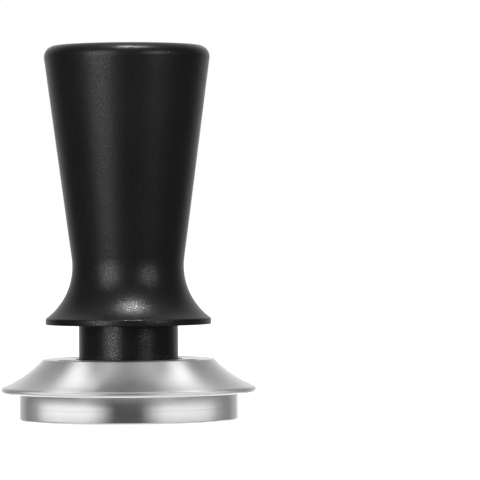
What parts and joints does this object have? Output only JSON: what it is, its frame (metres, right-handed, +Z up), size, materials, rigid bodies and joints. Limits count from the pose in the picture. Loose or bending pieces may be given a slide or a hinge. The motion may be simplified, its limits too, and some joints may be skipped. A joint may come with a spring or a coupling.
{
  "type": "espresso tamper",
  "caption": "Espresso tamper with a flared turned handle on a sprung stem, a self-levelling flanged plate that meets the basket's rim, and a round tamping face with concentric ripples.",
  "frame": {"origin": "centre of the tamping face, on the surface that the tamper stands on", "axes": "+Z up the handle's axis; -Y towards the front, midway between two of the three shoulder screws; +X to the right"},
  "size_m": [0.062, 0.062, 0.0911],
  "materials": {
    "base_steel": "polished",
    "plate_steel": "satin",
    "handle_black": "satin",
    "stem_black": "satin",
    "bush_polymer": "satin",
    "seal_rubber": "matte",
    "hardware_steel": "satin",
    "spring_steel": "satin",
    "rod_steel": "polished"
  },
  "bodies": {
    "base": {"ripple_base": "base_steel", "hub_oring": "seal_rubber", "stem": "stem_black", "stem_guide_ring": "bush_polymer", "stem_floor_bush": "bush_polymer", "lower_spring_seat": "hardware_steel", "main_spring": "spring_steel", "shoulder_screws": "hardware_steel", "levelling_springs": "spring_steel"},
    "plate": {"levelling_plate": "plate_steel", "plate_bush": "bush_polymer", "plate_wiper_ring": "seal_rubber"},
    "spring_cap": {"upper_spring_seat": "hardware_steel", "thrust_washer": "bush_polymer"},
    "grip": {"handle": "handle_black", "handle_bush": "bush_polymer", "handle_wiper_ring": "seal_rubber", "centre_rod": "rod_steel", "stop_bumper": "seal_rubber", "retaining_washer": "hardware_steel", "lock_washer": "hardware_steel", "retaining_screw": "hardware_steel"}
  },
  "joints": [
    {"name": "handle_press", "type": "slide", "parent": "base", "child": "spring_cap", "axis": [0, 0, -1], "range_m": [0, 0.004], "stiffness_N_per_m": 9800, "springref_m": -0.0005, "deforming": ["main_spring"]},
    {"name": "handle_spin", "type": "hinge", "parent": "spring_cap", "child": "grip", "pos_m": [0, 0, 0.045], "axis": [0, 0, 1], "continuous": true},
    {"name": "plate_lift", "type": "slide", "parent": "base", "child": "plate", "axis": [0, 0, 1], "range_m": [0, 0.004], "stiffness_N_per_m": 3000, "springref_m": -0.0005, "deforming": ["levelling_springs"]}
  ]
}
